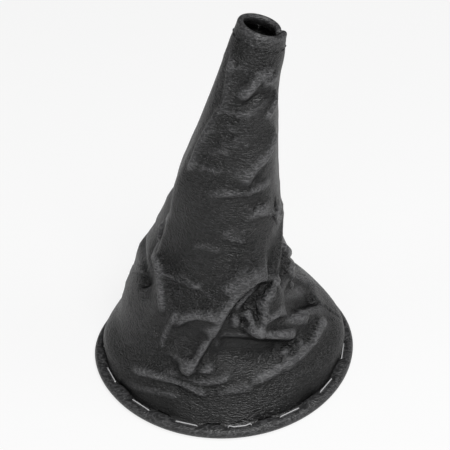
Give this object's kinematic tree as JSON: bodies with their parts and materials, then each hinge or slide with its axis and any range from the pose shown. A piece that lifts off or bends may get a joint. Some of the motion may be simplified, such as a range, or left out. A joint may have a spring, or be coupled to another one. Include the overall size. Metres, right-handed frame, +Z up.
{
  "type": "gear lever gaiter",
  "caption": "Leaning soft leather boot that closes the opening round a car's gear lever, with a narrow hemmed neck and a rolled base edge stapled over a hoop.",
  "frame": {"origin": "middle of the base rim, on the surface it stands on", "axes": "+Z up from the base to the neck, +X to the side that the neck leans to, -Y to the side with the deep buckle"},
  "size_m": [0.135, 0.1368, 0.1941],
  "materials": {
    "leather": "satin, fine grain",
    "hoop": "matt",
    "staple": "bright zinc plate",
    "thread": "matt"
  },
  "bodies": {
    "root": {"leather_skirt": "leather", "base_hoop": "hoop", "staple_01": "staple", "staple_02": "staple", "staple_03": "staple", "staple_04": "staple", "staple_05": "staple", "staple_06": "staple", "staple_07": "staple", "staple_08": "staple", "staple_09": "staple", "staple_10": "staple", "staple_11": "staple", "staple_12": "staple", "staple_13": "staple", "staple_14": "staple", "staple_15": "staple"}
  },
  "joints": []
}
